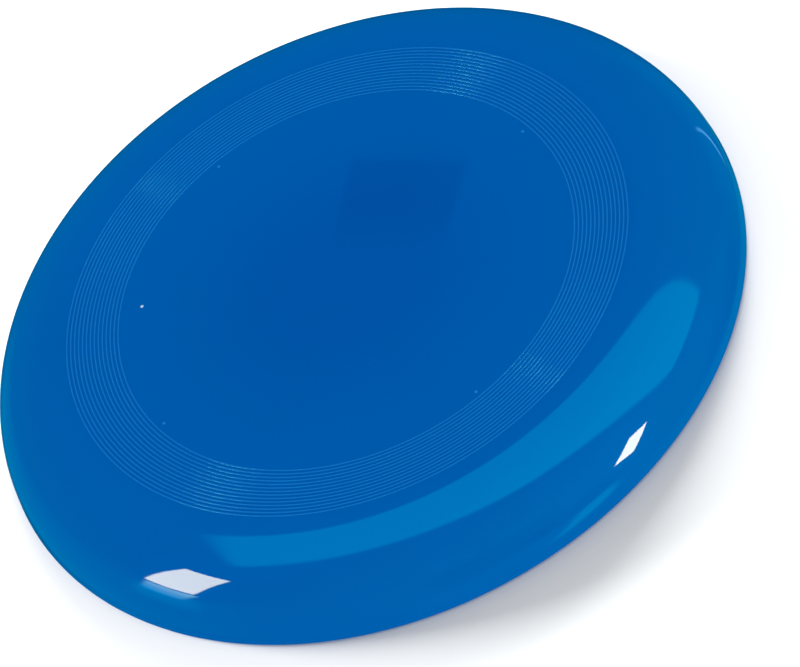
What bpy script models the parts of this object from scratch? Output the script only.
"""Flying disc: one injection-moulded polypropylene shell.

The disc is a body of revolution about +Z.  A flat plate carries a band of fine
concentric flight rings, a two-arc shoulder turns the plate down into the rim,
and the rim stands on a narrow flat land.  The underside is open.

Frame: metres, +Z up out of the plate, origin at the centre of the circle the
rim rests on, +X through one of the four gate marks on the plate.
"""

from math import cos, pi, radians, sin

import bmesh
import bpy
from mathutils import Matrix

# Overall size and outer face
DIAMETER = 0.2300           # over the rim
HEIGHT = 0.0233             # resting plane to the upper face of the plate
PLATE_RADIUS = 0.08768      # the flat plate, out to where the shoulder starts
SHOULDER_RADIUS = 0.03156   # first arc, tangent to the plate
SHOULDER_TURN = radians(42.83)         # angle that the first arc turns through
RIM_RADIUS = 0.01767        # second arc, down into the rim
RIM_DRAFT = 0.68            # degrees short of vertical at the foot of that arc
RIM_FOOT_SLOPE = radians(90.0 - RIM_DRAFT)

# Foot of the rim, and the bead inside it
RIM_EDGE = 0.0013           # outer bottom edge round
LAND_WIDTH = 0.0014         # flat ring that the rim stands on
LAND_INNER_RADIUS = DIAMETER / 2 - RIM_EDGE - LAND_WIDTH
BEAD_EDGE = 0.0012          # inner bottom edge round
BEAD_HEIGHT = 0.0042        # top of the straight inner face, above the land

# Wall
PLATE_WALL = 0.00160        # under the plate
RIM_WALL = 0.00215          # where the shoulder meets the rim bead
BLEND_SLOPE = radians(68.0)            # above this slope the wall runs into the bead
BLEND_PULL = 0.45           # blend handle length, as a share of the blend's height

# Flight rings, raised on the plate
RING_COUNT = 14
RING_FIRST = 0.07030        # radius of the innermost crest
RING_PITCH = 0.001239
RING_HEIGHT = 0.00012
RING_WIDTH = 0.00050        # at the foot of a ring
RING_CREST = 0.00040        # across its flat top

# Pinpoint gate marks, raised on the plate
GATE_COUNT = 4
GATE_CIRCLE = 0.06800
GATE_FOOT = 0.00070         # radius at the plate
GATE_TIP = 0.00035          # radius at the top
GATE_HEIGHT = 0.00030
GATE_ROOT = 0.0004          # depth sunk into the wall to join it

# Ejector witness marks, sunk in the underside
EJECTOR_COUNT = 6
EJECTOR_CIRCLE = 0.05200
EJECTOR_RADIUS = 0.00350
EJECTOR_DEPTH = 0.00020
EJECTOR_START = radians(30.0)          # from +X to the first mark
CUTTER_OVERRUN = 0.001      # how far the cutter hangs below the underside

# Mesh resolution
SEGMENTS = 64               # round the axis
MARK_SEGMENTS = 16          # round each gate or ejector mark
SHOULDER_STEPS = 7
RIM_STEPS = 6
EDGE_STEPS = 3
BLEND_STEPS = 4
INNER_STEPS = 8
SHARP_ANGLE = radians(35.0)

BLUE = (0.0006, 0.100, 0.392, 1.0)


# ------------------------------------------------------------------- section
# Section points are (radius, z).  A slope is the angle in radians by which the
# outer face has turned down from the plate.

def outer_point(slope):
    """Point of the shoulder or rim arc where the outer face has this slope."""
    first = min(slope, SHOULDER_TURN)
    radius = PLATE_RADIUS + SHOULDER_RADIUS * sin(first)
    z = HEIGHT - SHOULDER_RADIUS * (1.0 - cos(first))
    if slope > first:
        radius += RIM_RADIUS * (sin(slope) - sin(first))
        z -= RIM_RADIUS * (cos(first) - cos(slope))
    return radius, z


def wall_at(slope):
    """Wall thickness, easing from the plate's to the heavier rim's."""
    share = min(slope / BLEND_SLOPE, 1.0)
    ease = share * share * (3.0 - 2.0 * share)
    return PLATE_WALL + (RIM_WALL - PLATE_WALL) * ease


def inner_point(slope):
    """Point of the inner face, one wall thickness square in from the outer."""
    radius, z = outer_point(slope)
    wall = wall_at(slope)
    return radius - wall * sin(slope), z - wall * cos(slope)


def edge_round(centre_radius, edge_radius, start, end):
    """Arc touching the resting plane; angles in degrees from outward towards +Z."""
    points = []
    for step in range(EDGE_STEPS + 1):
        angle = radians(start + (end - start) * step / EDGE_STEPS)
        points.append((
            centre_radius + edge_radius * cos(angle),
            edge_radius + edge_radius * sin(angle),
        ))
    return points


def bezier_between(start, start_handle, end_handle, end, steps):
    """Points of a cubic Bezier curve, without its two ends."""
    controls = (start, start_handle, end_handle, end)
    points = []
    for step in range(1, steps):
        t = step / steps
        weights = ((1 - t) ** 3, 3 * t * (1 - t) ** 2, 3 * t * t * (1 - t), t**3)
        points.append(tuple(
            sum(weight * point[axis] for weight, point in zip(weights, controls))
            for axis in (0, 1)
        ))
    return points


def flight_rings():
    """Both feet and both crest corners of each ring, innermost first."""
    points = []
    for i in range(RING_COUNT):
        middle = RING_FIRST + i * RING_PITCH
        points += [
            (middle - RING_WIDTH / 2, HEIGHT),
            (middle - RING_CREST / 2, HEIGHT + RING_HEIGHT),
            (middle + RING_CREST / 2, HEIGHT + RING_HEIGHT),
            (middle + RING_WIDTH / 2, HEIGHT),
        ]
    return points


def outer_profile():
    """Upper and outer face, from the innermost ring down to the land."""
    rim_turn = RIM_FOOT_SLOPE - SHOULDER_TURN
    slopes = [SHOULDER_TURN * i / SHOULDER_STEPS for i in range(SHOULDER_STEPS + 1)]
    slopes += [SHOULDER_TURN + rim_turn * i / RIM_STEPS for i in range(1, RIM_STEPS + 1)]
    return (
        flight_rings()
        + [outer_point(slope) for slope in slopes]
        + edge_round(DIAMETER / 2 - RIM_EDGE, RIM_EDGE, start=-RIM_DRAFT, end=-90.0)
    )


def inner_profile():
    """Inner face, from the land up the bead and back under the plate."""
    bead_top = (LAND_INNER_RADIUS - BEAD_EDGE, BEAD_HEIGHT)
    wall_foot = inner_point(BLEND_SLOPE)
    pull = BLEND_PULL * (wall_foot[1] - bead_top[1])
    blend = bezier_between(
        bead_top,
        (bead_top[0], bead_top[1] + pull),
        (wall_foot[0] + pull * cos(BLEND_SLOPE), wall_foot[1] - pull * sin(BLEND_SLOPE)),
        wall_foot,
        BLEND_STEPS,
    )
    return (
        edge_round(LAND_INNER_RADIUS, BEAD_EDGE, start=-90.0, end=-180.0)
        + [bead_top]
        + blend
        + [inner_point(BLEND_SLOPE * (1 - i / INNER_STEPS)) for i in range(INNER_STEPS + 1)]
    )


# -------------------------------------------------------------------- pieces
def add_object(name, shape):
    """Turn a bmesh into an object in the scene, and free the bmesh."""
    mesh = bpy.data.meshes.new(name)
    shape.to_mesh(mesh)
    shape.free()
    obj = bpy.data.objects.new(name, mesh)
    bpy.context.scene.collection.objects.link(obj)
    return obj


def turned_shell(name):
    """The section spun round +Z, closed over the axis by two flat faces."""
    shape = bmesh.new()
    turns = [2 * pi * s / SEGMENTS for s in range(SEGMENTS)]
    rows = [
        [shape.verts.new((radius * cos(turn), radius * sin(turn), z)) for turn in turns]
        for radius, z in outer_profile() + inner_profile()
    ]
    for row, following in zip(rows, rows[1:]):
        for s in range(SEGMENTS):
            t = (s + 1) % SEGMENTS
            shape.faces.new((row[s], following[s], following[t], row[t]))
    shape.faces.new(rows[0])
    shape.faces.new(list(reversed(rows[-1])))
    bmesh.ops.recalc_face_normals(shape, faces=shape.faces)
    return add_object(name, shape)


def round_marks(name, count, circle, start, foot, tip, low, high):
    """Hidden helper: cones or cylinders from z low to high, on a circle round +Z.

    foot and tip are their radii at low and high; start is the first one's angle.
    """
    shape = bmesh.new()
    for i in range(count):
        angle = start + 2 * pi * i / count
        centre = (circle * cos(angle), circle * sin(angle), (low + high) / 2)
        bmesh.ops.create_cone(
            shape,
            cap_ends=True,
            segments=MARK_SEGMENTS,
            radius1=foot,
            radius2=tip,
            depth=high - low,
            matrix=Matrix.Translation(centre),
        )
    obj = add_object(name, shape)
    obj.hide_render = True
    obj.display_type = "WIRE"
    return obj


def gate_marks():
    """Cones whose taper carries on below the plate, down to their root."""
    flare = (GATE_FOOT - GATE_TIP) * GATE_ROOT / GATE_HEIGHT
    return round_marks(
        "gate_mark_guide",
        count=GATE_COUNT,
        circle=GATE_CIRCLE,
        start=0.0,
        foot=GATE_FOOT + flare,
        tip=GATE_TIP,
        low=HEIGHT - GATE_ROOT,
        high=HEIGHT + GATE_HEIGHT,
    )


def ejector_cutters():
    underside = HEIGHT - PLATE_WALL
    return round_marks(
        "ejector_mark_cutter",
        count=EJECTOR_COUNT,
        circle=EJECTOR_CIRCLE,
        start=EJECTOR_START,
        foot=EJECTOR_RADIUS,
        tip=EJECTOR_RADIUS,
        low=underside - CUTTER_OVERRUN,
        high=underside + EJECTOR_DEPTH,
    )


def add_boolean(target, tool, operation):
    boolean = target.modifiers.new(tool.name, "BOOLEAN")
    boolean.operation = operation
    boolean.solver = "EXACT"
    boolean.object = tool


def blue_polypropylene():
    """Glossy blue plastic."""
    material = bpy.data.materials.new("blue_polypropylene")
    material.use_nodes = True
    inputs = material.node_tree.nodes["Principled BSDF"].inputs
    settings = {"Base Color": BLUE, "Metallic": 0.0, "Roughness": 0.22, "IOR": 1.49}
    for socket, value in settings.items():
        inputs[socket].default_value = value
    material.diffuse_color = BLUE
    return material


def main():
    for obj in list(bpy.data.objects):
        bpy.data.objects.remove(obj, do_unlink=True)

    shell = turned_shell("disc_shell")
    shell.data.materials.append(blue_polypropylene())
    add_boolean(shell, gate_marks(), "UNION")
    add_boolean(shell, ejector_cutters(), "DIFFERENCE")
    shell.data.shade_smooth()
    shell.data.set_sharp_from_angle(angle=SHARP_ANGLE)


main()
